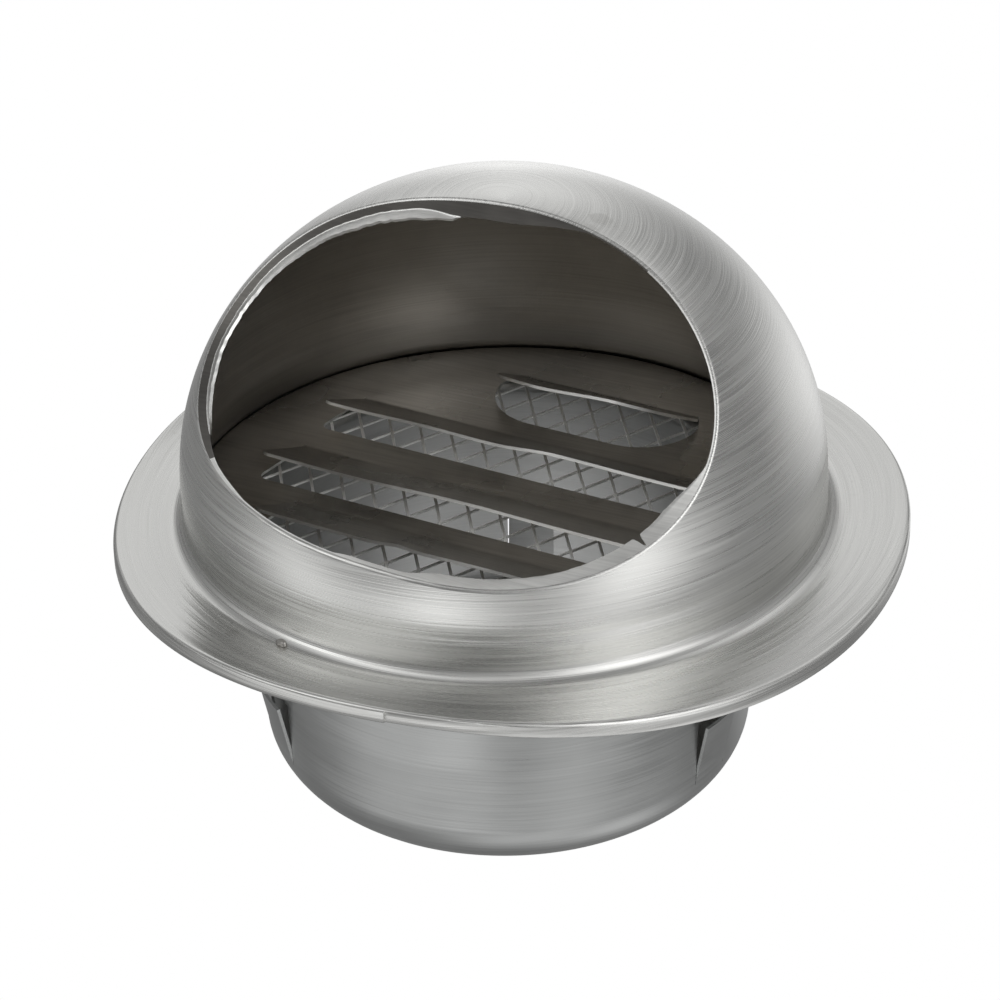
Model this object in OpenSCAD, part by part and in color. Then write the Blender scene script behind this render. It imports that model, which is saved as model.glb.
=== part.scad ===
// Hooded wall exhaust vent cap, millimetres.
// z = 0 is the wall face, +Z points out of the wall along the duct axis, the mouth faces -Y.

/* [Sheet] */
// thickness of every sheet-metal piece
sheet = 0.6; // [0.4:0.1:1.2]

/* [Hood] */
// outside diameter of the wall flange
flange_d = 156; // [140:1:200]
// height of the flange's front face above the wall
flange_h = 3; // [2.4:0.1:5]
// outside radius of the bend from the flange into its hem
hem_bend = 1; // [0.8:0.1:2]
// outside diameter of the dome at its foot
hood_d = 126.4; // [110:0.2:140]
// height of the dome's top above the wall
hood_h = 69.7; // [50:0.1:90]
// height at which the straight foot turns into the dome
dome_z = 11.6; // [8:0.1:20]
// outside radius of the fillet between dome and flange
foot_bend = 3; // [2:0.1:5]

/* [Mouth] */
// radius of the cylinder that cuts the mouth
mouth_r = 62.1; // [50:0.1:80]
// how far the cutting cylinder's axis stands in front of the duct axis
mouth_out = 63.4; // [55:0.1:75]
// height of the cutting cylinder's axis above the wall
mouth_z = 84.9; // [70:0.1:100]
// width of the lip turned in round the mouth
lip_w = 3.4; // [2:0.1:6]

/* [Louvre plate] */
// diameter of the louvre plate over its skirt
plate_d = 126; // [110:0.2:126.4]
// height of the plate's upper face above the wall
plate_z = 3.8; // [3.6:0.1:4]
// turn of the plate about the duct axis, degrees
plate_turn = -4; // [-15:1:15]
// how much wider a blade is at its free side than at its crease, at each end
end_slope = 2; // [0:0.5:4]

/* [Mesh screen] */
// diameter of the mesh disc
mesh_d = 122; // [100:1:123]
// thickness of the expanded metal
mesh_t = 0.8; // [0.4:0.1:0.8]
// short way of one diamond
mesh_short = 6.9; // [4:0.1:10]
// long way of one diamond
mesh_long = 11.5; // [8:0.1:16]
// width of a strand
strand = 0.55; // [0.4:0.05:1]

/* [Duct collar] */
// outside diameter of the collar where it seats in the duct
collar_d = 99; // [95:0.1:104]
// depth of the collar behind the wall face
collar_h = 53; // [45:1:70]
// depth of the straight seat before the slight taper
seat_h = 28; // [20:1:30]
// radius of the rounded inner end
nose_r = 12; // [8:1:16]
// how much smaller the radius is at the start of the rounded end
taper = 0.5; // [0.2:0.1:1]
// diameter of the collar's own flange
collar_flange_d = 142; // [130:1:146]
// outside radius of the bend between flange and collar
neck_bend = 1.4; // [1:0.1:3]

/* [Spring tongues] */
// width of a tongue
tongue_w = 9.5; // [6:0.5:14]
// depth of a tongue's root behind the wall face
root_z = 42.5; // [40:0.5:44]
// length of a tongue
tongue_l = 14.2; // [8:0.2:14.2]
// outward lean of a tongue at rest, degrees
tongue_lean = 9; // [2:1:15]
// gap between a tongue and its window
kerf = 0.25; // [0.15:0.05:0.5]
// direction of the first tongue, degrees from +X
tongue_turn = -12; // [-60:1:60]

/* [Spot welds] */
// number of weld nuggets
weld_n = 6; // [3:1:12]
// radius of a nugget
weld_r = 1.6; // [1:0.1:2.5]
// height of a nugget
weld_t = 0.25; // [0.1:0.05:0.4]
// radius of the weld circle
weld_circle = 68.5; // [66:0.5:70]

/* [Hidden] */
$fn = 128;
dome_steps = 48;
flange_r = flange_d / 2;
hood_r = hood_d / 2;
plate_r = plate_d / 2;
mesh_r = mesh_d / 2;
collar_r = collar_d / 2;
collar_flange_r = collar_flange_d / 2;
seat_z = flange_h - sheet;               // underside of the hood's flange, where the collar's flange sits
plate_low = plate_z - sheet;
neck_z = seat_z - sheet - neck_bend;     // top of the collar's straight wall
nose_in = collar_r - taper - nose_r;     // radius of the hole in the collar's rounded end
nose_z = nose_r - collar_h;
nose_start = 15;                         // how far round the nose's bend the straight collar's node reaches, degrees
blade_gap = 0.15;                        // side gap between a blade and its hole
root_r = nose_in + sqrt(pow(nose_r - sheet / 2, 2) - pow(root_z + nose_z, 2));

// each louvre: y of its crease, depth, half length, corner radius, lift of its blade in degrees
louvres = [
  [46.5, 18, 22.5, 13, 29],
  [23.4, 15, 47, 2, 24],
  [1, 15.5, 48, 2, 22],
  [-19, 14, 38.5, 2, 22]
];

// the mesh's pattern is offset from the duct axis
mesh_x = 2;
mesh_y = -0.6;
mesh_rows = floor(mesh_d / mesh_long);
mesh_cols = floor(mesh_r / mesh_short);
mesh_k = 1 - strand * norm([mesh_short, mesh_long]) / (mesh_short * mesh_long);

function arc(cx, cy, rx, ry, a0, a1, n) =
  [for (i = [0:n]) let (a = a0 + (a1 - a0) * i / n) [cx + rx * cos(a), cy + ry * sin(a)]];

// ---------------------------------------------------------------- hood and its wall flange, one spun sheet

function hood_outline() = concat(
  arc(hood_r + foot_bend, flange_h + foot_bend, foot_bend, foot_bend, 270, 180, 8),
  arc(0, dome_z, hood_r, hood_h - dome_z, 0, 90, dome_steps),
  arc(0, dome_z, hood_r - sheet, hood_h - dome_z - sheet, 90, 0, dome_steps),
  arc(hood_r + foot_bend, flange_h + foot_bend, foot_bend + sheet, foot_bend + sheet, 180, 270, 8)
);

function flange_outline() = concat(
  [[flange_r, 0]],
  arc(flange_r - hem_bend, flange_h - hem_bend, hem_bend, hem_bend, 0, 90, 6),
  [[hood_r + foot_bend, flange_h], [hood_r + foot_bend, seat_z]],
  arc(flange_r - hem_bend, flange_h - hem_bend, hem_bend - sheet, hem_bend - sheet, 90, 0, 6),
  [[flange_r - sheet, 0]]
);

// the dome as a solid, this much smaller than its outside all round
module dome_solid(inset) {
  rotate_extrude()
    polygon(concat(
      [[0, flange_h + foot_bend], [hood_r - inset, flange_h + foot_bend]],
      arc(0, dome_z, hood_r - inset, hood_h - dome_z - inset, 0, 90, dome_steps)
    ));
}

module mouth_cutter(grow) {
  translate([-flange_r, -mouth_out, mouth_z])
    rotate([0, 90, 0])
      cylinder(r = mouth_r + grow, h = flange_d);
}

module lip() {
  intersection() {
    mouth_cutter(sheet);
    difference() {
      dome_solid(sheet / 2);
      dome_solid(lip_w);
    }
  }
}

module hood() {
  color("silver")
    difference() {
      union() {
        rotate_extrude()
          polygon(hood_outline());
        lip();
      }
      mouth_cutter(0);
    }
}

module wall_flange() {
  color("silver")
    rotate_extrude()
      polygon(flange_outline());
}

// ---------------------------------------------------------------- louvre plate

// a louvre's outline, its crease on the x axis and its free side toward -y
function louvre_outline(half, depth, corner) = concat(
  [[half - end_slope, 0], [end_slope - half, 0]],
  arc(corner - half, corner - depth, corner, corner, 180, 270, 8),
  arc(half - corner, corner - depth, corner, corner, 270, 360, 8)
);

// a blade turns about the middle of the sheet
module louvre_blade(l) {
  half = l[2] - blade_gap;
  bend = half - end_slope - sheet / 2;
  translate([0, l[0], plate_z - sheet / 2])
    rotate([-l[4], 0, 0])
      translate([0, 0, -sheet / 2])
        linear_extrude(sheet)
          polygon(louvre_outline(half, l[1], l[3]));
  // the bend itself, joining blade and plate
  translate([-bend, l[0], plate_z - sheet / 2])
    rotate([0, 90, 0])
      cylinder(r = sheet / 2 - 0.03, h = 2 * bend, $fn = 24);
}

module plate_disc() {
  difference() {
    translate([0, 0, seat_z])
      cylinder(r = plate_r, h = plate_z - seat_z);
    // hollow underside, leaving the skirt
    translate([0, 0, seat_z - 1])
      cylinder(r = plate_r - sheet, h = plate_low - seat_z + 1);
    for (l = louvres)
      translate([0, l[0], seat_z])
        linear_extrude(plate_z)
          polygon(louvre_outline(l[2], l[1], l[3]));
  }
}

module louvre_plate() {
  color("lightsteelblue")
    rotate([0, 0, plate_turn]) {
      plate_disc();
      for (l = louvres)
        louvre_blade(l);
    }
}

// ---------------------------------------------------------------- mesh screen

// middle of the diamond in this row and column
function diamond_at(row, col) =
  [mesh_x + mesh_short * (col + (row % 2 == 0 ? 0 : 0.5)), mesh_y + row * mesh_long / 2];

module diamond() {
  polygon([
    [mesh_k * mesh_short / 2, 0],
    [0, mesh_k * mesh_long / 2],
    [-mesh_k * mesh_short / 2, 0],
    [0, -mesh_k * mesh_long / 2]
  ]);
}

module mesh_screen() {
  color("dimgray")
    translate([0, 0, seat_z])
      linear_extrude(mesh_t)
        difference() {
          circle(r = mesh_r);
          for (row = [-mesh_rows:mesh_rows])
            for (col = [-mesh_cols - 1:mesh_cols])
              if (norm(diamond_at(row, col)) < mesh_r - mesh_long / 2)
                translate(diamond_at(row, col))
                  diamond();
        }
}

// ---------------------------------------------------------------- duct collar and tongues, one drawn sheet

function collar_flange_outline() = concat(
  [[collar_flange_r, seat_z], [collar_flange_r, seat_z - sheet]],
  arc(collar_r + neck_bend, neck_z, neck_bend, neck_bend, 90, 180, 6),
  arc(collar_r + neck_bend, neck_z, neck_bend + sheet, neck_bend + sheet, 180, 90, 6)
);

function collar_outline() = concat(
  [[collar_r, neck_z], [collar_r, -seat_h]],
  arc(nose_in, nose_z, nose_r, nose_r, 0, -nose_start, 2),
  arc(nose_in, nose_z, nose_r - sheet, nose_r - sheet, -nose_start, 0, 2),
  [[collar_r - sheet, -seat_h], [collar_r - sheet, neck_z]]
);

function nose_outline() = concat(
  arc(nose_in, nose_z, nose_r, nose_r, -nose_start, -90, 10),
  arc(nose_in, nose_z, nose_r - sheet, nose_r - sheet, -90, -nose_start, 10)
);

module collar_shell() {
  rotate_extrude()
    polygon(collar_outline());
}

module collar_flange() {
  color("slategray")
    rotate_extrude()
      polygon(collar_flange_outline());
}

module collar_nose() {
  color("slategray")
    rotate_extrude()
      polygon(nose_outline());
}

// the block that picks a tongue, or its window, out of the shell
module tongue_block(grow) {
  translate([root_r - 6, -tongue_w / 2 - grow, -root_z - grow])
    cube([12, tongue_w + 2 * grow, tongue_l + 2 * grow]);
}

module duct_collar() {
  color("slategray")
    difference() {
      collar_shell();
      for (i = [0:2])
        rotate([0, 0, tongue_turn + 120 * i])
          tongue_block(kerf);
    }
}

module tongue(i) {
  color("gainsboro")
    rotate([0, 0, tongue_turn + 120 * i])
      translate([root_r, 0, -root_z])
        rotate([0, tongue_lean, 0])
          translate([-root_r, 0, root_z])
            intersection() {
              rotate([0, 0, -tongue_turn - 120 * i])
                collar_shell();
              tongue_block(0);
            }
}

module tongue_right() {
  tongue(0);
}

module tongue_rear() {
  tongue(1);
}

module tongue_left() {
  tongue(2);
}

// ---------------------------------------------------------------- spot welds

module spot_welds() {
  color("darkgray")
    for (i = [0:weld_n - 1])
      rotate([0, 0, -105.5 + 360 * i / weld_n])
        translate([weld_circle, 0, seat_z - sheet - weld_t])
          cylinder(r = weld_r, h = weld_t, $fn = 32);
}

// ---------------------------------------------------------------- nodes

hood();
wall_flange();
louvre_plate();
mesh_screen();
collar_flange();
duct_collar();
collar_nose();
tongue_right();
tongue_rear();
tongue_left();
spot_welds();
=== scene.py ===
"""Looks of the hooded wall vent cap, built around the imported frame. Metres, in the part's own frame."""
import math

import bmesh
import bpy
import numpy as np
from mathutils import Matrix, Vector
from mathutils.geometry import delaunay_2d_cdt
from mathutils.noise import noise as mnoise

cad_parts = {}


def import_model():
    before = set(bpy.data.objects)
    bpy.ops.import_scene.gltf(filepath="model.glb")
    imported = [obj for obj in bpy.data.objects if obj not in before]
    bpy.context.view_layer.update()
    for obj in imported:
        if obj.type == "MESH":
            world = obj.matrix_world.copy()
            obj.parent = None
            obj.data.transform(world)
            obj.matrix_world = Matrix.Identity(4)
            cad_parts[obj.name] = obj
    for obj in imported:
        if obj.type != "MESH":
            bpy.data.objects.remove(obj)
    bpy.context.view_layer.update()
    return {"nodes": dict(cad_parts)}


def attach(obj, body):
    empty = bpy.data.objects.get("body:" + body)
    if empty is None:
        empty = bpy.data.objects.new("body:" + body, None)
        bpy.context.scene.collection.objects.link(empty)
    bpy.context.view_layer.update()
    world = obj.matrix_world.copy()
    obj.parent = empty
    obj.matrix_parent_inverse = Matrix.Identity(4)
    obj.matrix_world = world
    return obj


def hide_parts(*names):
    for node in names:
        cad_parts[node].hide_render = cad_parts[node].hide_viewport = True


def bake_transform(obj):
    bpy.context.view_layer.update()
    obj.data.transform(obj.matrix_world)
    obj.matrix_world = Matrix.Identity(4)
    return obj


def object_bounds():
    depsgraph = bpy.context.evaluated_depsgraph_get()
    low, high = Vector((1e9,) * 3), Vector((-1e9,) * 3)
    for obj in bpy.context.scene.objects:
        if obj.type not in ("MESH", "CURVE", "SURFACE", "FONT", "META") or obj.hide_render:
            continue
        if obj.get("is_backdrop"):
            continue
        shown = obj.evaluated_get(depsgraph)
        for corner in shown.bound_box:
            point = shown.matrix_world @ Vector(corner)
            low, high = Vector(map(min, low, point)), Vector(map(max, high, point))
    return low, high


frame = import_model()
MM = 0.001

# ------------------------------------------------------------------ camera

# fitted to outlines measured in the photograph
CAMERA_AZ, CAMERA_EL, CAMERA_ROLL = math.radians(24.6), math.radians(30.75), math.radians(-1.2)
CAMERA_DISTANCE, CAMERA_LENS, SENSOR = 683.5, 125, 36
AIM_RIGHT, AIM_UP = -0.87, 3.4


def camera():
    """Looks down at the mouth from the right; the aim is measured from the duct axis in the wall's plane."""
    az, el, roll = CAMERA_AZ, CAMERA_EL, CAMERA_ROLL
    back = Vector((math.sin(az) * math.cos(el), -math.cos(az) * math.cos(el), math.sin(el)))
    right = Vector((math.cos(az), math.sin(az), 0))
    up = back.cross(right)
    x = right * math.cos(roll) + up * math.sin(roll)
    y = up * math.cos(roll) - right * math.sin(roll)
    data = bpy.data.cameras.new("camera")
    data.sensor_width, data.lens = SENSOR, CAMERA_LENS
    data.clip_start, data.clip_end = 0.05, 20
    cam = bpy.data.objects.new("camera", data)
    bpy.context.scene.collection.objects.link(cam)
    target = right * (AIM_RIGHT * MM) + Vector((0, 0, AIM_UP * MM))
    m = Matrix((x, y, back)).transposed().to_4x4()
    m.translation = target + back * (CAMERA_DISTANCE * MM)
    cam.matrix_world = m
    bpy.context.scene.camera = cam


camera()

# ------------------------------------------------------------------ dimensions, the same as part.scad, in mm

SHEET = 0.6
FLANGE_R, FLANGE_H, HEM = 78.0, 3.0, 1.0
HOOD_R, HOOD_H, DOME_Z, FOOT = 63.2, 69.7, 11.6, 3.0
MOUTH_R, MOUTH_Y, MOUTH_Z = 62.1, -63.4, 84.9
MOUTH_EL = math.radians(41)  # the mouth's middle as seen from the dome's middle
PLATE_R, PLATE_Z, SKIRT_Z, PLATE_TURN = 63.0, 3.8, 2.41, math.radians(-4)
# each louvre: crease's y, depth, half length, corner radius, lift in degrees
LOUVRES = [(46.5, 18, 22.5, 13, 29), (23.4, 15, 47, 2, 24), (1, 15.5, 48, 2, 22), (-19, 14, 38.5, 2, 22)]
COLLAR_R, COLLAR_H, NOSE_R, TAPER, SEAT_H = 49.5, 53.0, 12.0, 0.5, 28.0
COLLAR_FLANGE_R, COLLAR_FLANGE_Z, NECK, NECK_Z = 71.0, 1.8, 1.4, 0.4
NOSE_IN, NOSE_Z = COLLAR_R - TAPER - NOSE_R, NOSE_R - COLLAR_H
ROOT_Z, TONGUE_L, TONGUE_W, LEAN, KERF, TONGUE_TURN = 42.5, 14.2, 9.5, math.radians(9), 0.25, -12.0
ROOT_R = NOSE_IN + math.sqrt((NOSE_R - SHEET / 2) ** 2 - (ROOT_Z + NOSE_Z) ** 2)
# the sheared gap beside a tongue is finer here than in part.scad: what the tongue and its window take of it
TONGUE_FILL, WINDOW_FILL = 0.08, 0.06

# ------------------------------------------------------------------ mesh helpers


def smoothstep(a, b, x):
    t = np.clip((np.asarray(x, float) - a) / (b - a), 0, 1)
    return t * t * (3 - 2 * t)


def make(name, verts, faces, smooth_angle, mats, face_mats=None):
    """An object from points in metres, smooth but for edges sharper than smooth_angle."""
    me = bpy.data.meshes.new(name)
    me.from_pydata([tuple(v) for v in verts], [], [tuple(f) for f in faces])
    for m in mats:
        me.materials.append(m)
    if face_mats is not None:
        me.polygons.foreach_set("material_index", np.asarray(face_mats, np.int32))
    me.validate()
    me.update()
    ob = bpy.data.objects.new(name, me)
    bpy.context.scene.collection.objects.link(ob)
    me.shade_smooth()
    me.set_sharp_from_angle(angle=math.radians(smooth_angle))
    return ob


def shell(name, outer, inner, closed, mats, mask=None, face_mats=None, smooth_angle=50, rim=None,
          lining=None):
    """A sheet of metal. outer and inner are (rows, columns, 3) in mm, closed says whether the columns run
    round, and mask says which cells are metal. face_mats gives each cell its material. rim is the material
    of cut edges, and lining is (first row, material) for the inner side of material 0."""
    rows, cols = outer.shape[:2]
    verts = np.concatenate([outer.reshape(-1, 3), inner.reshape(-1, 3)]) * MM
    off = rows * cols
    n = cols if closed else cols - 1
    if mask is None:
        mask = np.ones((rows - 1, n), bool)
    faces, face_kinds = [], []

    def metal(i, j):
        if closed:
            j %= cols
        return 0 <= i < rows - 1 and 0 <= j < n and bool(mask[i, j])

    def add(face, kind):
        faces.append(face)
        face_kinds.append(kind)

    for i in range(rows - 1):
        for j in range(n):
            if not mask[i, j]:
                continue
            k = (j + 1) % cols
            a, b, c, d = i * cols + j, i * cols + k, (i + 1) * cols + k, (i + 1) * cols + j
            kind = 0 if face_mats is None else int(face_mats[i, j])
            cut = kind if rim is None else rim
            lined = lining is not None and i >= lining[0] and kind == 0
            add((a, b, c, d), kind)
            add((d + off, c + off, b + off, a + off), lining[1] if lined else kind)
            sides = [((i - 1, j), b, a), ((i + 1, j), d, c), ((i, j - 1), a, d), ((i, j + 1), c, b)]
            for neighbour, p, q in sides:
                if not metal(*neighbour):
                    add((p, q, q + off, p + off), cut)
    used = np.unique(np.array(faces))
    remap = np.full(len(verts), -1)
    remap[used] = np.arange(len(used))
    ob = make(name, verts[used], remap[np.array(faces)], smooth_angle, mats, face_kinds)
    turn_outward(ob)
    return ob


def turn_outward(ob):
    """Turns every face outward."""
    bm = bmesh.new()
    bm.from_mesh(ob.data)
    bmesh.ops.recalc_face_normals(bm, faces=bm.faces)
    bm.to_mesh(ob.data)
    bm.free()


def unit(v):
    return v / np.linalg.norm(v, axis=-1, keepdims=True)


def arc(cx, cz, r, a0, a1, n):
    """n + 1 points on a circle from angle a0 to a1, in degrees."""
    t = np.radians(np.linspace(a0, a1, n + 1))
    return np.stack([cx + r * np.cos(t), cz + r * np.sin(t)], 1)


# ------------------------------------------------------------------ materials


class Nodes:
    """A new material with a Principled shader, and short ways to add nodes to it."""

    def __init__(self, name):
        self.mat = bpy.data.materials.new(name)
        self.mat.use_nodes = True
        self.t = self.mat.node_tree
        self.t.nodes.clear()
        self.out = self.add("ShaderNodeOutputMaterial")
        self.bsdf = self.add("ShaderNodeBsdfPrincipled")
        self.link(self.bsdf.outputs[0], self.out.inputs[0])

    def add(self, kind, **props):
        n = self.t.nodes.new(kind)
        for k, v in props.items():
            setattr(n, k, v)
        return n

    def link(self, a, b):
        self.t.links.new(a, b)

    def put(self, socket, v):
        if isinstance(v, bpy.types.NodeSocket):
            self.link(v, socket)
        else:
            socket.default_value = v

    def math(self, op, a, b=None):
        n = self.add("ShaderNodeMath", operation=op)
        self.put(n.inputs[0], a)
        if b is not None:
            self.put(n.inputs[1], b)
        return n.outputs[0]

    def position(self):
        """Object coordinates in metres, split."""
        tc = self.add("ShaderNodeTexCoord")
        s = self.add("ShaderNodeSeparateXYZ")
        self.link(tc.outputs["Object"], s.inputs[0])
        return tc.outputs["Object"], s.outputs[0], s.outputs[1], s.outputs[2]

    def combine(self, x, y, z):
        n = self.add("ShaderNodeCombineXYZ")
        for i, v in enumerate((x, y, z)):
            self.put(n.inputs[i], v)
        return n.outputs[0]

    def noise(self, vector, scale=1.0, detail=2.0, rough=0.5):
        n = self.add("ShaderNodeTexNoise")
        self.link(vector, n.inputs["Vector"])
        n.inputs["Scale"].default_value = scale
        n.inputs["Detail"].default_value = detail
        n.inputs["Roughness"].default_value = rough
        return n.outputs["Fac"]

    def ramp(self, fac, a, b, lo=0.0, hi=1.0):
        """fac from a..b becomes lo..hi, clamped."""
        n = self.add("ShaderNodeMapRange", clamp=True)
        n.interpolation_type = "SMOOTHSTEP"
        self.link(fac, n.inputs[0])
        for i, v in enumerate((a, b, lo, hi)):
            n.inputs[i + 1].default_value = v
        return n.outputs[0]

    def mix(self, fac, a, b):
        n = self.add("ShaderNodeMix", data_type="RGBA")
        self.put(n.inputs[0], fac)
        self.put(n.inputs[6], a)
        self.put(n.inputs[7], b)
        return n.outputs[2]

    def bump(self, height, strength, distance, normal=None):
        n = self.add("ShaderNodeBump")
        n.inputs["Strength"].default_value = strength
        n.inputs["Distance"].default_value = distance
        self.link(height, n.inputs["Height"])
        if normal is not None:
            self.link(normal, n.inputs["Normal"])
        return n.outputs[0]


def col(v, warm=0.0):
    """Grey steel with the faint straw tint of the metal; warm pushes it toward brown."""
    return (min(1, v * (1 + warm)), v, v * (0.975 - warm), 1)


def ring_streaks(m, sign, along, across):
    """Noise coordinates drawn out round the duct axis, without a seam. Across the strokes they follow the
    profile: radius less height where sign is -1, radius plus height where it is 1."""
    _, x, y, z = m.position()
    r = m.math("SQRT", m.math("ADD", m.math("MULTIPLY", x, x), m.math("MULTIPLY", y, y)))
    k = m.math("ADD", r, m.math("MULTIPLY", z, sign))
    return m.combine(
        m.math("MULTIPLY", x, along), m.math("MULTIPLY", y, along), m.math("MULTIPLY", k, across)
    )


def turned_steel(name, value, warm, rough, aniso, sign, streak, patch, groove, spots=0.0, painted_crease_shade=False):
    """Steel worked on a lathe: strokes and grooves run round the duct axis. streak and patch share out the
    light and dark between strokes and clouds, groove is the depth of the strokes, spots darkens small old
    stains, and the last argument darkens the wall just above the louvre plate, a painted shade in the
    corner where wall and plate meet."""
    m = Nodes(name)
    hair = m.noise(ring_streaks(m, sign, 42, 3400), detail=1, rough=0.5)
    fine = m.noise(ring_streaks(m, sign, 26, 1700), detail=2, rough=0.65)
    mid = m.noise(ring_streaks(m, sign, 9, 520), detail=1, rough=0.5)
    pos, _, _, z = m.position()
    cloud = m.noise(pos, scale=26, detail=3, rough=0.55)
    both = m.math("ADD", m.math("MULTIPLY", hair, 0.45), m.math("MULTIPLY", fine, 0.55))
    shade = m.math("ADD", m.math("MULTIPLY", both, streak), m.math("MULTIPLY", cloud, patch))
    middle = 0.5 * (streak + patch)
    f = m.ramp(shade, middle - 0.2, middle + 0.2)
    colour = m.mix(f, col(value * 0.84, warm), col(min(1, value * 1.14), warm))
    if spots:
        speck = m.noise(pos, scale=130, detail=2, rough=0.5)
        colour = m.mix(m.ramp(speck, 0.70, 0.78, 0.0, spots), colour, col(value * 0.5, 0.03))
    # painted shade: the wall darkens toward the louvre plate, in the corner where the two meet
    if painted_crease_shade:
        colour = m.mix(m.ramp(z, 0.003, 0.017, 0.75, 0.0), colour, col(value * 0.3, 0.03))
    m.link(colour, m.bsdf.inputs["Base Color"])
    m.bsdf.inputs["Metallic"].default_value = 1
    stroke_rough = m.ramp(both, 0.35, 0.65, -0.04, 0.05)
    cloud_rough = m.ramp(cloud, 0.3, 0.7, rough - 0.02, rough + 0.03)
    m.link(m.math("ADD", stroke_rough, cloud_rough), m.bsdf.inputs["Roughness"])
    m.bsdf.inputs["Anisotropic"].default_value = aniso
    t = m.add("ShaderNodeTangent", direction_type="RADIAL", axis="Z")
    m.link(t.outputs[0], m.bsdf.inputs["Tangent"])
    b = m.bump(hair, groove, 0.00004)
    b = m.bump(fine, groove, 0.00007, b)
    b = m.bump(mid, groove * 0.5, 0.00010, b)
    m.link(b, m.bsdf.inputs["Normal"])
    return m.mat


def plain_steel(name, value, warm, rough, aniso=0.0, scratch=0.3, metal=1.0):
    """Rolled sheet: faint grain along X, soft clouds and scratches."""
    m = Nodes(name)
    pos, x, y, z = m.position()
    drawn = m.combine(m.math("MULTIPLY", x, 60), m.math("MULTIPLY", y, 1500), m.math("MULTIPLY", z, 1500))
    grain = m.noise(drawn, detail=2, rough=0.6)
    cloud = m.noise(pos, scale=45, detail=3, rough=0.6)
    f = m.ramp(m.math("ADD", m.math("MULTIPLY", grain, 0.4), m.math("MULTIPLY", cloud, 0.6)), 0.35, 0.65)
    m.link(m.mix(f, col(value * 0.85, warm), col(min(1, value * 1.1), warm)), m.bsdf.inputs["Base Color"])
    m.bsdf.inputs["Metallic"].default_value = metal
    m.link(m.ramp(cloud, 0.3, 0.7, rough - 0.05, rough + 0.07), m.bsdf.inputs["Roughness"])
    m.bsdf.inputs["Anisotropic"].default_value = aniso
    b = m.bump(grain, scratch, 0.00005)
    b = m.bump(cloud, 0.25, 0.0002, b)
    m.link(b, m.bsdf.inputs["Normal"])
    return m.mat


M_HOOD = turned_steel(
    "spun_steel", value=0.66, warm=0.0, rough=0.28, aniso=0.6, sign=-1, streak=0.75, patch=0.25, groove=0.4,
    spots=0.25,
)
# the hood's inside darkens toward the louvre plate: painted shade in that corner
M_HOOD_IN = turned_steel(
    "hood_inside", value=0.62, warm=0.035, rough=0.36, aniso=0.4, sign=-1, streak=0.5, patch=0.5, groove=0.15,
    painted_crease_shade=True,
)
# the lip's steel in two copies: this dark one is painted shade, the hood's dim inside reflected in the lip's
# upper left; the next, near white, is painted light on the lip's front
M_LIP_PAINTED_SHADE = plain_steel("lip_painted_shade", value=0.15, warm=0.04, rough=0.36)
M_LIP_PAINTED_LIGHT = plain_steel("lip_front_painted_light", value=0.85, warm=0.0, rough=0.36)
# the edges' steel pushed near white: painted glint along the cut edges and the lip's strip
M_EDGE = plain_steel("cut_edge_painted_glint", value=0.92, warm=0.0, rough=0.42, scratch=0.4)
M_PLATE = plain_steel("plate_steel", value=0.52, warm=0.045, rough=0.30, aniso=0.3, scratch=0.35)
# the mesh: near white and mostly not metal, so the strands read light; painted sheen for the light that metal
# strands catch
M_MESH = plain_steel("mesh_steel", value=0.95, warm=0.0, rough=0.40, scratch=0.2, metal=0.15)
# the collar's inside: its steel a little darker than outside, painted shade inside the duct
M_COLLAR_IN = turned_steel(
    "collar_inside_painted_shade", value=0.44, warm=-0.01, rough=0.42, aniso=0.3, sign=1, streak=0.4, patch=0.6, groove=0.2
)
M_COLLAR = turned_steel(
    "collar_steel", value=0.48, warm=-0.015, rough=0.33, aniso=0.3, sign=1, streak=0.4, patch=0.6, groove=0.2
)
M_WELD = plain_steel("weld_nugget", value=0.45, warm=0.03, rough=0.45)

# ------------------------------------------------------------------ hood

HEM_STEP, HEM_STEP_DEPTH = 7.0, 0.62  # the step in the hem: degrees right of the front, and mm
FOLD_R = 0.85  # the rolled fold round the mouth
STRIP_BEND, STRIP_BEND_R = 50, 0.4  # how the strip inside the lip turns outward
DOME_MIDDLE, DOME_MEAN_R = np.array([0, 0, DOME_Z]), 60.0
DOME_AXES = np.array([HOOD_R, HOOD_R, HOOD_H - DOME_Z])
# the hood's materials, by material index; the lip's two are one steel, a dark copy as painted shade and a
# bright copy as painted light
OUTSIDE, LIP, EDGE, INSIDE, LIP_PAINTED_LIGHT = range(5)
HOOD_MATERIALS = [M_HOOD, M_LIP_PAINTED_SHADE, M_EDGE, M_HOOD_IN, M_LIP_PAINTED_LIGHT]


def hood_columns():
    """Directions round the mouth, in degrees, closer together where the sheet has a step or a slit."""
    d = list(np.arange(0, 360, 1.0))
    step = math.degrees(math.atan(math.tan(math.radians(HEM_STEP)) / math.sin(MOUTH_EL)))
    d += [step - 0.25, step - 0.08, step + 0.08, step + 0.25]
    d += list(np.arange(70.25, 76, 0.25))
    return np.array(sorted(set(np.round(d, 3))))


def dome_normal(p):
    return unit((p - DOME_MIDDLE) / DOME_AXES**2)


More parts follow.
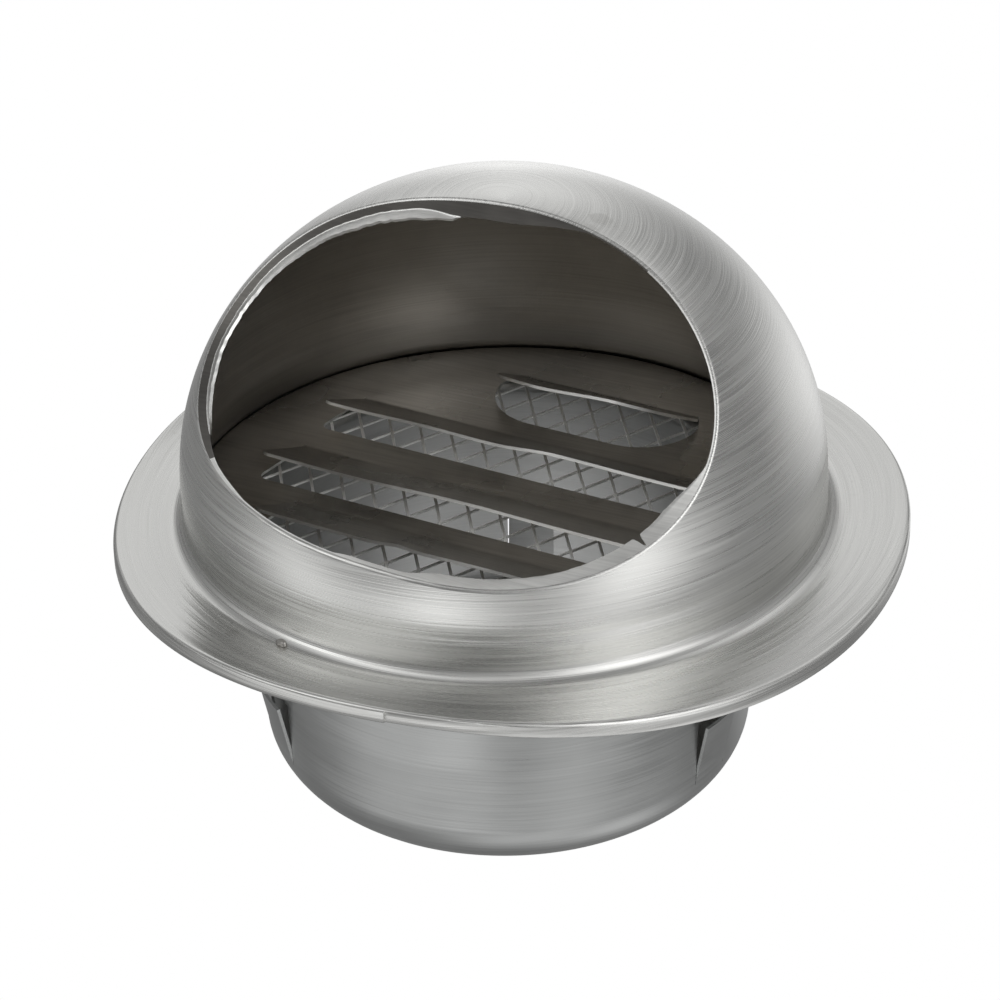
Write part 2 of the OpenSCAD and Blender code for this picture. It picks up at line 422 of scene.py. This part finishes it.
def dome_arcs(d):
    """A great circle of the dome for each direction d from the mouth's middle. Returns at(s), which gives
    their points at angle s, the angle at which each leaves the mouth, and the angle at the dome's base."""
    el = MOUTH_EL
    c = np.array([0, -math.cos(el), math.sin(el)])
    down, right = np.array([0, -math.sin(el), -math.cos(el)]), np.array([1.0, 0, 0])
    w = np.cos(d)[:, None] * down + np.sin(d)[:, None] * right

    def at(s):
        return (np.cos(s)[:, None] * c + np.sin(s)[:, None] * w) * DOME_AXES + DOME_MIDDLE

    lo, hi = np.zeros(len(d)), np.full(len(d), math.radians(100))
    for _ in range(48):
        mid = (lo + hi) / 2
        p = at(mid)
        inside = (p[:, 1] - MOUTH_Y) ** 2 + (p[:, 2] - MOUTH_Z) ** 2 < MOUTH_R**2
        lo, hi = np.where(inside, mid, lo), np.where(inside, hi, mid)
    end = np.arctan2(math.tan(el), np.cos(d))
    end = np.where(end < 0, end + math.pi, end)
    return at, lo, end


def out_of_round(d):
    """How far the pressed mouth strays from its cylinder cut, in degrees seen from the dome's middle. The
    numbers were fitted to the outline measured in the photograph."""
    lobes = [(1.97, 131), (1.22, 46), (0.79, 11), (0.87, -33)]
    return 0.37 + sum(amp * np.cos((k + 1) * (d - math.radians(at))) for k, (amp, at) in enumerate(lobes))


def lip_widths(deg, d):
    """The lip's band and the strip along its inner edge, in mm: both fade out at the right and lower left."""
    wob = np.array([mnoise(Vector((math.cos(a) * 6, math.sin(a) * 6, 1.7))) for a in d])
    fine = np.array([mnoise(Vector((math.cos(a) * 40, math.sin(a) * 40, 5.1))) for a in d])
    low = (deg + 180) % 360 - 180
    upper = 3.35 * smoothstep(149, 176, deg) * (1 - smoothstep(264, 296, deg))
    side = 0.95 * smoothstep(268, 290, deg) * (1 - smoothstep(298, 322, deg))
    front = 1.35 * smoothstep(-19, -6, low) * (1 - smoothstep(84, 100, low))
    front += 2.0 * smoothstep(12, 24, low) * (1 - smoothstep(80, 96, low))
    strip = 2.0 * smoothstep(186, 199, deg) * (1 - smoothstep(262, 288, deg))
    full = upper + side + front
    full = 0.14 + full * (1 + 0.05 * wob + 0.04 * fine)
    slit = np.exp(-(((deg - 72.6) / 0.55) ** 2))
    band = (full - strip * 0.8) * (1 - 0.85 * slit)
    rag = 0.10 * np.clip(fine * 3, -1, 1) * (strip > 0.1)
    return band, np.maximum(strip + rag, 0.03), strip


def flange_shift(az, r):
    """The flange stands a little off the dome's axis and isn't flat: x, y and z in mm to add at radius r. The
    numbers were fitted to the outline measured in the photograph."""
    w = np.clip((r - 61) / 17, 0, 1)
    lift = 0.9 + 0.45 * np.cos(2 * (az - math.radians(10))) + 1.9 * np.cos(3 * (az - math.radians(2)))
    return 2.0 * w, -1.4 * w, lift * w**2


def base_rows(az):
    """Hem, flange, fillet and foot at azimuths az, as rows of (outside, inside, finish) from the rim up, and
    the number of rows before the fillet."""

    def ring(r, z):
        dx, dy, dz = flange_shift(az, r)
        return np.stack([np.sin(az) * r + dx, -np.cos(az) * r + dy, z + dz * (z < DOME_Z)], 1)

    def row(ro, zo, ri, zi):
        return ring(ro, zo), ring(ri, zi), OUTSIDE

    deg = np.degrees(az)
    step = np.where(deg > HEM_STEP, HEM_STEP_DEPTH * (1 - smoothstep(9, 27, deg)), 0.0) * (deg < 60)
    # the hem, its lower rim a little broken
    rows = []
    for z, broken in ((0.0, 0.08), (0.12, 0), (1.0, 0), (1.55, 0)):
        rows.append(row(FLANGE_R - step - broken, z, FLANGE_R - SHEET - step, z))
    turn_r, turn_z = FLANGE_R - HEM, FLANGE_H - HEM
    for a in np.radians(np.linspace(0, 90, 9)):
        k = max(0.0, 1 - a / math.radians(30)) * 0.9
        c, sn = math.cos(a), math.sin(a)
        thin = HEM - SHEET
        rows.append(row(turn_r + HEM * c - step * k, turn_z + HEM * sn,
                        turn_r + thin * c - step * k, turn_z + thin * sn))
    # the flange, with shallow turning grooves that lie closer together near the dome
    grooves = [76.4, 75.6, 74.8, 73.9, 73.0, 72.3, 71.7, 71.0, 70.3, 69.7, 69.2, 68.6, 68.0, 67.4, 66.9]
    for k, r in enumerate(grooves):
        dz = 0.025 * math.sin(k * 2.1) + (0.02 if k % 3 == 0 else 0)
        rows.append(row(r, FLANGE_H - 0.03 + dz, r, FLANGE_H - SHEET))
    before_fillet = len(rows)
    foot_r, foot_z, under = HOOD_R + FOOT, FLANGE_H + FOOT, FOOT + SHEET
    for a in np.radians(np.linspace(270, 180, 13)):
        c, sn = math.cos(a), math.sin(a)
        rows.append(row(foot_r + FOOT * c, foot_z + FOOT * sn, foot_r + under * c, foot_z + under * sn))
    for z in (7.4, 8.8, 10.2):
        rows.append(row(HOOD_R, z, HOOD_R - SHEET, z))
    return rows, before_fillet


def mouth_directions(edge, ahead):
    """At each point of the mouth's edge: the dome's and the lip's outward normals, the way into the mouth,
    the middle of the fold, and how far the fold reaches from the edge."""
    tangent = unit(np.roll(edge, -1, 0) - np.roll(edge, 1, 0))
    dome_n = dome_normal(edge)
    away = unit(np.cross(dome_n, tangent))
    away *= np.sign((away * (ahead - edge)).sum(1))[:, None]
    cut_n = np.stack([np.zeros(len(edge)), MOUTH_Y - edge[:, 1], MOUTH_Z - edge[:, 2]], 1) / MOUTH_R
    inward = unit(np.cross(cut_n, tangent))
    inward *= np.sign((inward * (edge.mean(0) - edge)).sum(1))[:, None]
    turn = np.arccos(np.clip(-(away * inward).sum(1), -1, 1))
    lip_n = unit(cut_n - (cut_n * inward).sum(1)[:, None] * inward)
    middle = edge + unit(away + inward) * (FOLD_R / np.cos(turn / 2))[:, None]
    return dome_n, lip_n, inward, middle, FOLD_R * np.tan(turn / 2)


def slerp(a, b, t):
    w = np.arccos(np.clip((a * b).sum(1), -1, 1))[:, None]
    return (np.sin((1 - t) * w) * a + np.sin(t * w) * b) / np.sin(w)


def fold_rows(dome_n, lip_n, middle):
    """The sheet rolls over from the dome to the lip."""
    rows = []
    for t in np.linspace(0, 1, 9):
        n = slerp(dome_n, lip_n, t)
        rows.append((middle + n * FOLD_R, middle + n * (FOLD_R - SHEET), LIP if t == 1 else OUTSIDE))
    return rows


def lip_rows(start, lip_n, inward, width, strip, strip_len):
    """The lip's band lies on the mouth's cylinder. The strip inside it turns out toward the front."""
    rows = []
    for t in (0.25, 0.5, 0.75, 1.0):
        o = start + inward * (width * t)[:, None]
        rows.append((o, o - lip_n * SHEET, LIP))
    hub = o + lip_n * STRIP_BEND_R
    bend = np.radians(STRIP_BEND) * np.clip(strip / 0.4, 0, 1)
    for t in (0.25, 0.5, 0.75, 1.0):
        a = (bend * t)[:, None]
        n = lip_n * np.cos(a) - inward * np.sin(a)
        rows.append((hub - n * STRIP_BEND_R, hub - n * (STRIP_BEND_R + SHEET), EDGE))
    along = inward * np.cos(a) + lip_n * np.sin(a)
    for t in (0.5, 1.0):
        o = hub - n * STRIP_BEND_R + along * (strip_len * t)[:, None]
        rows.append((o, o - n * SHEET, EDGE))
    return rows


def hood():
    """The spun hood as one sheet, with one column of cells for each direction round the mouth."""
    deg = hood_columns()
    d = np.radians(deg)
    at, mouth, base = dome_arcs(d)
    mouth = mouth + np.radians(out_of_round(d))
    foot = at(base)
    rows, before_fillet = base_rows(np.arctan2(foot[:, 0], -foot[:, 1]))
    edge = at(mouth)
    dome_n, lip_n, inward, middle, fold_reach = mouth_directions(edge, at(mouth + 0.01))
    # up the dome's great circles, and short of the mouth's edge by what the fold takes
    top = mouth + fold_reach / DOME_MEAN_R
    for t in np.linspace(0, 1, 65)[:-1]:
        o = at(base + (top - base) * t)
        rows.append((o, o - dome_normal(o) * SHEET, OUTSIDE))
    rows += fold_rows(dome_n, lip_n, middle)
    band, strip_len, strip = lip_widths(deg, d)
    width = np.maximum(band - fold_reach, 0.15)
    rows += lip_rows(middle + lip_n * FOLD_R, lip_n, inward, width, strip, strip_len)
    kinds = [kind for _, _, kind in rows]
    cells = np.repeat(np.maximum(kinds[:-1], kinds[1:])[:, None], len(d), 1)
    cells = np.where((cells == EDGE) & (strip <= 0.12), LIP, cells)
    # the lip's upper left takes the dark copy (painted shade), the rest of the lip the bright copy (painted
    # light)
    upper_left = (deg > 140) & (deg < 292)
    cells = np.where((cells == LIP) & ~upper_left, LIP_PAINTED_LIGHT, cells)
    outer, inner = np.array([row[0] for row in rows]), np.array([row[1] for row in rows])
    lining = (before_fillet, INSIDE)
    ob = shell("hood_shell", outer, inner, True, HOOD_MATERIALS, face_mats=cells, lining=lining)
    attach(ob, "cap")
    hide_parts("hood", "wall_flange")


hood()

# ------------------------------------------------------------------ louvre plate

SHOULDER_R = 0.5  # the plate's rounded shoulder
BLADE_GAP, BLADE_BEND = 0.15, 1.4  # the gap at a blade's ends, and the length over which it bends
LOUVRE_TAPER = 2  # how much shorter a louvre is at its crease, at each end


def louvre_outline(half, depth, corner):
    """A louvre's opening, from its crease at y 0 to its rounded front corners."""
    pts = [(half - LOUVRE_TAPER, 0), (LOUVRE_TAPER - half, 0)]
    pts += [tuple(p) for p in arc(corner - half, corner - depth, corner, 180, 270, 8)]
    pts += [tuple(p) for p in arc(half - corner, corner - depth, corner, 270, 360, 8)]
    return pts


def rings(profile, ang):
    """Rows of points round the duct axis, one row for each (radius, height)."""
    level = np.ones(len(ang))
    return np.stack([np.stack([r * np.cos(ang), r * np.sin(ang), z * level], 1) for r, z in profile])


def turn_plate(p):
    """Turns points of the plate about the duct axis, to the angle at which the plate sits in the hood."""
    p = np.asarray(p, float)
    c, s = math.cos(PLATE_TURN), math.sin(PLATE_TURN)
    out = p.copy()
    out[..., 0] = c * p[..., 0] - s * p[..., 1]
    out[..., 1] = s * p[..., 0] + c * p[..., 1]
    return out


def side_walls(tops, n):
    """Walls from the open edges of the top faces down to the low points, which are numbered n higher."""
    edges = [(face[i], face[(i + 1) % len(face)]) for face in tops for i in range(len(face))]
    known = set(edges)
    return [(b, a, a + n, b + n) for a, b in edges if (b, a) not in known]


def flat_plate(loops, z_top, z_low):
    """A flat sheet with holes, as vertices and faces: loops[0] is its rim, the others its holes."""
    pts, edges = [], []
    for loop in loops:
        a = len(pts)
        pts += [Vector(p) for p in loop]
        edges += [(a + i, a + (i + 1) % len(loop)) for i in range(len(loop))]
    v, _, f, *_ = delaunay_2d_cdt(pts, edges, [], 1, 1e-7)

    def inside(c, loop):
        hit = False
        for i in range(len(loop)):
            (x0, y0), (x1, y1) = loop[i], loop[i - 1]
            if (y0 > c[1]) != (y1 > c[1]) and c[0] < (x1 - x0) * (c[1] - y0) / (y1 - y0) + x0:
                hit = not hit
        return hit

    keep = []
    for face in f:
        c = sum((v[i] for i in face), Vector((0, 0))) / len(face)
        if inside(c, loops[0]) and not any(inside(c, h) for h in loops[1:]):
            keep.append(face)
    xy = turn_plate(np.array([[p.x, p.y] for p in v]))
    n = len(xy)
    top = np.column_stack([xy, np.full(n, z_top)])
    low = np.column_stack([xy, np.full(n, z_low)])
    faces = [tuple(face) for face in keep] + [tuple(i + n for i in reversed(face)) for face in keep]
    return np.concatenate([top, low]) * MM, faces + side_walls(keep, n)


def louvre_plate():
    ang = np.radians(np.linspace(0, 360, 193)[:-1])
    flat_r = PLATE_R - SHOULDER_R
    loops = [[(flat_r * math.cos(a), flat_r * math.sin(a)) for a in ang]]
    for y, depth, half, corner, _ in LOUVRES:
        loops.append([(px, py + y) for px, py in louvre_outline(half, depth, corner)])
    verts, faces = flat_plate(loops, PLATE_Z, PLATE_Z - SHEET)
    plate = make("louvre_disc", verts, faces, 40, [M_PLATE, M_EDGE])
    turn_outward(plate)
    for p in plate.data.polygons:
        if abs(p.normal.z) < 0.5:
            p.material_index = 1
    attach(plate, "cap")
    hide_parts("louvre_plate")
    # the skirt: a rounded shoulder turned down to the collar's flange
    shoulder = arc(flat_r, PLATE_Z - SHOULDER_R, SHOULDER_R, 90, 0, 5)
    under = PLATE_Z - SHEET - np.linspace(0.001, 0.006, 6)
    o = rings(list(shoulder) + [(PLATE_R, SKIRT_Z)], ang)
    i = rings([(PLATE_R - SHEET, z) for z in list(under) + [SKIRT_Z]], ang)
    skirt = shell("louvre_skirt", o, i, True, [M_PLATE])
    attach(skirt, "cap")
    for k, (y, depth, half, corner, lift) in enumerate(LOUVRES):
        blade(k, y, depth, half - BLADE_GAP, corner, lift)


def blade(k, crease, depth, half, corner, lift):
    """A lanced blade: bends up from its rear crease, its free edge a little wavy from the press."""
    across = np.linspace(-1, 1, 97)
    down = np.concatenate([np.linspace(0, 0.12, 7), np.linspace(0.12, 1, 15)[1:]])
    out = np.zeros((len(down), len(across), 3))
    normal = np.zeros_like(out)
    straight = depth - corner
    for i, t in enumerate(down):
        # half the blade's length at this distance from the crease
        dist = t * depth
        if dist <= straight:
            h = half - LOUVRE_TAPER + LOUVRE_TAPER * dist / straight
        else:
            h = half - corner + math.sqrt(max(0.0, corner**2 - (dist - straight) ** 2))
        x = across * h
        full_angle = np.radians(lift + WAVES[k](x))
        bend_r = BLADE_BEND / full_angle
        angle = min(dist, BLADE_BEND) / bend_r
        flat = max(dist - BLADE_BEND, 0)
        out[i, :, 0] = x
        out[i, :, 1] = crease - bend_r * np.sin(angle) - flat * np.cos(full_angle)
        out[i, :, 2] = PLATE_Z + bend_r * (1 - np.cos(angle)) + flat * np.sin(full_angle) + EDGES[k](x) * t**2
        normal[i, :, 1] = np.sin(angle)
        normal[i, :, 2] = np.cos(angle)
    inner = out - normal * SHEET
    out, inner = turn_plate(out), turn_plate(inner)
    ob = shell(f"louvre_blade_{k + 1}", out, inner, False, [M_PLATE, M_EDGE], smooth_angle=45, rim=1)
    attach(ob, "cap")


# how each blade's lift wanders along its length, in degrees, and how its free edge rises, in mm
WAVES = [
    lambda x: 1.0 * np.sin(x / 9),
    lambda x: 2.5 * smoothstep(-8, 6, x) - 1.0 * smoothstep(20, 40, x),
    lambda x: 0.8 * np.sin(x / 16 + 1),
    lambda x: 1.0 * np.sin(x / 11),
]
EDGES = [
    lambda x: 0.15 * np.sin(x / 4),
    lambda x: 0.12 * np.sin(x / 5),
    lambda x: 0.15 * np.sin(x / 7 + 2),
    lambda x: 0.5 * np.exp(-(((x + 6) / 3) ** 2)),
]
louvre_plate()

# ------------------------------------------------------------------ expanded mesh

MESH_DIAMOND, MESH_X, MESH_Y, MESH_R = (6.9, 11.5), 2.0, -0.6, 60.2
STRAND, KNUCKLE, MESH_THICK, MESH_TOP, MESH_FOOT, MESH_JITTER = 0.5, 1.3, 0.42, 3.18, 2.42, 0.12


def expanded_mesh():
    """Raised expanded metal as one sheet: strands of two diamonds meet at each knuckle, and every strand is
    twisted, high toward the diamond in front of it and low toward the one behind."""
    short, long_ = MESH_DIAMOND
    hi, lo = MESH_TOP, MESH_FOOT + MESH_THICK
    mid = (hi + lo) / 2
    k = STRAND / 2 * math.hypot(short, long_) / (short * long_) * 2
    reach = 12
    verts, index = [], {}

    def node(i, j):
        """Lattice node: column i, row j."""
        return MESH_X + short * (i + (0.5 if j % 2 == 0 else 0.0)), MESH_Y + long_ / 2 * j

    def inside(i, j):
        x, y = node(i, j)
        return math.hypot(x, y) < MESH_R

    gx, gy = short / 2 * k, max(long_ / 2 * k, KNUCKLE / 2)
    corners = {"R": (gx, 0, mid), "L": (-gx, 0, mid), "U": (0, gy, lo), "D": (0, -gy, hi)}

    def vert(i, j, c):
        key = (i, j, c)
        if key not in index:
            x, y = node(i, j)
            dx, dy, z = corners[c]
            jx = MESH_JITTER * mnoise(Vector((x * 0.9, y * 0.9, 3.3)))
            jy = MESH_JITTER * mnoise(Vector((x * 0.9, y * 0.9, 7.7)))
            index[key] = len(verts)
            verts.append((x + dx + jx, y + dy + jy, z))
        return index[key]

    tops = []
    for j in range(-reach, reach + 1):
        for i in range(-reach, reach + 1):
            if not inside(i, j):
                continue
            tops.append([vert(i, j, c) for c in "RULD"])
            ur = (i + 1, j + 1) if j % 2 == 0 else (i, j + 1)
            ul = (i, j + 1) if j % 2 == 0 else (i - 1, j + 1)
            if inside(*ur):
                tops.append([vert(i, j, "U"), vert(i, j, "R"), vert(*ur, "D"), vert(*ur, "L")])
            if inside(*ul):
                tops.append([vert(i, j, "L"), vert(i, j, "U"), vert(*ul, "R"), vert(*ul, "D")])
    n = len(verts)
    v = np.array(verts)
    low = v.copy()
    low[:, 2] -= MESH_THICK
    faces = [tuple(f) for f in tops] + [tuple(i + n for i in reversed(f)) for f in tops]
    faces += side_walls(tops, n)
    ob = make("mesh_sheet", np.concatenate([v, low]) * MM, faces, 30, [M_MESH])
    turn_outward(ob)
    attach(ob, "cap")
    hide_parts("mesh_screen")


expanded_mesh()

# ------------------------------------------------------------------ duct collar and its tongues


def collar_profile():
    """Rows of (outer r, outer z, inner r, inner z) from the flange's rim to the hole in the rounded end."""
    flange_top = COLLAR_FLANGE_Z + SHEET - 0.01
    rows = [(COLLAR_FLANGE_R, COLLAR_FLANGE_Z, COLLAR_FLANGE_R, flange_top)]
    for r in np.linspace(COLLAR_FLANGE_R - 1, COLLAR_R + NECK + 2, 9):
        rows.append((r, COLLAR_FLANGE_Z, r, flange_top))
    for a in np.radians(np.linspace(90, 180, 9)):
        cr, inner_neck = COLLAR_R + NECK, NECK + SHEET
        o = (cr + NECK * math.cos(a), NECK_Z + NECK * math.sin(a))
        i = (cr + inner_neck * math.cos(a), NECK_Z - 0.01 + inner_neck * math.sin(a))
        rows.append(o + i)
    for z in np.linspace(NECK_Z, -SEAT_H, 13)[1:]:
        rows.append((COLLAR_R, z, COLLAR_R - SHEET, z))
    top, bottom = -ROOT_Z + TONGUE_L + KERF, -ROOT_Z - KERF

    def at_z(z):
        if z >= NOSE_Z:
            t = (z + SEAT_H) / (NOSE_Z + SEAT_H)
            return COLLAR_R - TAPER * t, z, COLLAR_R - TAPER * t - SHEET, z
        o = NOSE_IN + math.sqrt(NOSE_R**2 - (z - NOSE_Z) ** 2)
        i = NOSE_IN + math.sqrt((NOSE_R - SHEET) ** 2 - (z - NOSE_Z) ** 2)
        return o, z, i, z

    zs = list(np.linspace(top, NOSE_Z, 10)) + [-41.6, -42.2, bottom]
    rows += [at_z(z) for z in zs]
    a0 = math.degrees(math.asin((bottom - NOSE_Z) / NOSE_R))
    for a in np.radians(np.linspace(a0, -90, 16)[1:]):
        rows.append((
            NOSE_IN + NOSE_R * math.cos(a), NOSE_Z + NOSE_R * math.sin(a),
            NOSE_IN + (NOSE_R - SHEET) * math.cos(a), NOSE_Z + (NOSE_R - SHEET) * math.sin(a),
        ))
    return np.array(rows), top, bottom, at_z


def collar():
    """The drawn collar, with a window cut out of it behind each tongue."""
    rows, top, bottom, at_z = collar_profile()
    half = math.degrees(math.asin((TONGUE_W / 2 + KERF - WINDOW_FILL) / (COLLAR_R - TAPER)))
    ang = []
    for t in range(3):
        c = TONGUE_TURN + 120 * t
        ang += list(np.linspace(c - half, c + half, 9))
        ang += list(np.linspace(c + half, c + 120 - half, 73)[1:-1])
    ang = np.array(ang)
    n = len(ang)
    o, i = rings(rows[:, :2], np.radians(ang)), rings(rows[:, 2:], np.radians(ang))
    mask = np.ones((len(rows) - 1, n), bool)
    for row in range(len(rows) - 1):
        z = (rows[row][1] + rows[row + 1][1]) / 2
        if bottom < z < top:
            for j in range(n):
                m = (ang[j] + ang[(j + 1) % n]) / 2
                if any(abs((m - TONGUE_TURN - 120 * t + 180) % 360 - 180) < half - 0.01 for t in range(3)):
                    mask[row, j] = False
    ob = shell("collar_shell", o, i, True, [M_COLLAR, M_COLLAR_IN], mask, lining=(0, 1))
    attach(ob, "cap")
    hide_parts("duct_collar", "collar_flange", "collar_nose")
    for t, side in enumerate(("right", "rear", "left")):
        tongue(math.radians(TONGUE_TURN + 120 * t), "tongue_" + side, bottom, at_z)


def tongue(theta, node, bottom, at_z):
    """A spring tongue: springs from the foot of its window and leans outward."""
    bend = np.linspace(-ROOT_Z, -ROOT_Z + 3, 7)
    zs = np.concatenate([[bottom], bend, np.linspace(bend[-1], -ROOT_Z + TONGUE_L, 13)[1:]])
    w = np.linspace(-1, 1, 11) * (TONGUE_W / 2 + TONGUE_FILL)
    o, i = np.zeros((len(zs), len(w), 3)), np.zeros((len(zs), len(w), 3))
    for r, z in enumerate(zs):
        ro, _, ri, _ = at_z(z)
        dz = z + ROOT_Z
        # lean about the root, eased in over the first two millimetres
        lean = LEAN * min(max(dz, 0.0) / 2, 1)
        for c, x in enumerate(w):
            for arr, radius in ((o, ro), (i, ri)):
                dx = math.sqrt(radius**2 - x**2) - ROOT_R
                px = ROOT_R + dx * math.cos(lean) + dz * math.sin(lean)
                arr[r, c] = (px, x, -ROOT_Z + dz * math.cos(lean) - dx * math.sin(lean))
    ct, st = math.cos(theta), math.sin(theta)
    for arr in (o, i):
        x, y = arr[..., 0].copy(), arr[..., 1].copy()
        arr[..., 0], arr[..., 1] = ct * x - st * y, st * x + ct * y
    ob = shell(node + "_leaf", o, i, False, [M_COLLAR, M_COLLAR_IN], lining=(0, 1))
    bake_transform(ob)
    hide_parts(node)


collar()


def weld_pip():
    """A bead of spatter at the foot of the dome, left of the front."""
    az, r = math.radians(-15.5), 65.2
    dx, dy, dz = flange_shift(az, r)
    centre = np.array([math.sin(az) * r + dx, -math.cos(az) * r + dy, 3.55 + dz])
    along = np.array([math.cos(az), math.sin(az), 0])
    out = np.array([math.sin(az) * 0.8, -math.cos(az) * 0.8, 0.6])
    across = np.cross(out, along)
    bm = bmesh.new()
    bmesh.ops.create_icosphere(bm, subdivisions=3, radius=1)
    for v in bm.verts:
        p = np.array(v.co)
        lump = 1 + 0.28 * mnoise(v.co * 1.3 + Vector((4, 1, 2))) + 0.12 * mnoise(v.co * 4)
        v.co = Vector((centre + (along * p[0] * 1.25 + across * p[1] * 0.75 + out * p[2] * 0.5) * lump) * MM)
    me = bpy.data.meshes.new("weld_pip")
    bm.to_mesh(me)
    bm.free()
    me.materials.append(M_WELD)
    me.shade_smooth()
    ob = bpy.data.objects.new("weld_pip", me)
    bpy.context.scene.collection.objects.link(ob)
    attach(ob, "cap")


weld_pip()
# the spot welds stay as part.scad makes them, in the weld's metal
spot_welds = frame["nodes"]["spot_welds"].data
spot_welds.materials.clear()
spot_welds.materials.append(M_WELD)

# ------------------------------------------------------------------ floor and light

FLOOR_HALF, FLOOR_GAP = 4, 0.0002  # metres


def floor():
    """A plain white floor just under the cap, seen by the camera from above only, and by no other ray."""
    me = bpy.data.meshes.new("floor")
    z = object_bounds()[0].z - FLOOR_GAP
    h = FLOOR_HALF
    me.from_pydata([(-h, -h, z), (h, -h, z), (h, h, z), (-h, h, z)], [], [(0, 1, 2, 3)])
    ob = bpy.data.objects.new("floor", me)
    bpy.context.scene.collection.objects.link(ob)
    m = bpy.data.materials.new("floor_white")
    m.use_nodes = True
    t = m.node_tree
    t.nodes.clear()
    out = t.nodes.new("ShaderNodeOutputMaterial")
    em = t.nodes.new("ShaderNodeEmission")
    em.inputs[0].default_value = (1, 1, 1, 1)
    em.inputs[1].default_value = 1.0
    clear = t.nodes.new("ShaderNodeBsdfTransparent")
    side = t.nodes.new("ShaderNodeNewGeometry")
    mix = t.nodes.new("ShaderNodeMixShader")
    t.links.new(side.outputs["Backfacing"], mix.inputs[0])
    t.links.new(em.outputs[0], mix.inputs[1])
    t.links.new(clear.outputs[0], mix.inputs[2])
    t.links.new(mix.outputs[0], out.inputs[0])
    me.materials.append(m)
    ob.visible_diffuse = ob.visible_glossy = ob.visible_transmission = ob.visible_shadow = False
    ob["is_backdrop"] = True


# soft boxes round the cap: azimuth (0 in front, 90 at +X), elevation and strength. They come from a fit to
# the photograph's tones by another program, with some changed and one added by hand; report.md says more.
SOFT_BOXES = [
    (73, 45, 2.45), (60, 23, 1.75), (68, -8, 1.61), (55, -28, 0.54), (43, -52, 0.55), (96, -60, 0.85),
    (-45, 33, 1.89), (-32, 60, 1.17), (-50, -18, 0.85), (-30, -31, 0.62), (3, -23, 1.45), (14, -64, 0.5),
    (158, 50, 0.96), (153, -5, 0.66), (173, -17, 0.88),
    (-162, 21, 0.85), (-155, -9, 1.05), (-130, 29, 0.84), (-150, 43, 0.38),
]
AMBIENT, BOX_FALLOFF = 0.244, 30


def world():
    """A studio of round soft boxes, each fading out from its middle, in a dim room."""
    w = bpy.data.worlds.new("studio")
    bpy.context.scene.world = w
    w.use_nodes = True
    t = w.node_tree
    bg = t.nodes["Background"]
    where = t.nodes.new("ShaderNodeTexCoord").outputs["Generated"]

    def math_node(op, a, b):
        n = t.nodes.new("ShaderNodeMath")
        n.operation = op
        for socket, v in zip(n.inputs, (a, b)):
            if isinstance(v, bpy.types.NodeSocket):
                t.links.new(v, socket)
            else:
                socket.default_value = v
        return n.outputs[0]

    total = None
    for az, el, strength in SOFT_BOXES:
        a, e = math.radians(az), math.radians(el)
        dot = t.nodes.new("ShaderNodeVectorMath")
        dot.operation = "DOT_PRODUCT"
        t.links.new(where, dot.inputs[0])
        dot.inputs[1].default_value = (math.sin(a) * math.cos(e), -math.cos(a) * math.cos(e), math.sin(e))
        near = math_node("MULTIPLY", math_node("SUBTRACT", dot.outputs["Value"], 1.0), BOX_FALLOFF)
        lit = math_node("MULTIPLY", math_node("EXPONENT", near, 0.0), strength)
        total = math_node("ADD", lit, AMBIENT if total is None else total)
    t.links.new(total, bg.inputs["Color"])
    bg.inputs["Strength"].default_value = 1.0


floor()
world()
bpy.context.scene.view_settings.view_transform = "Standard"
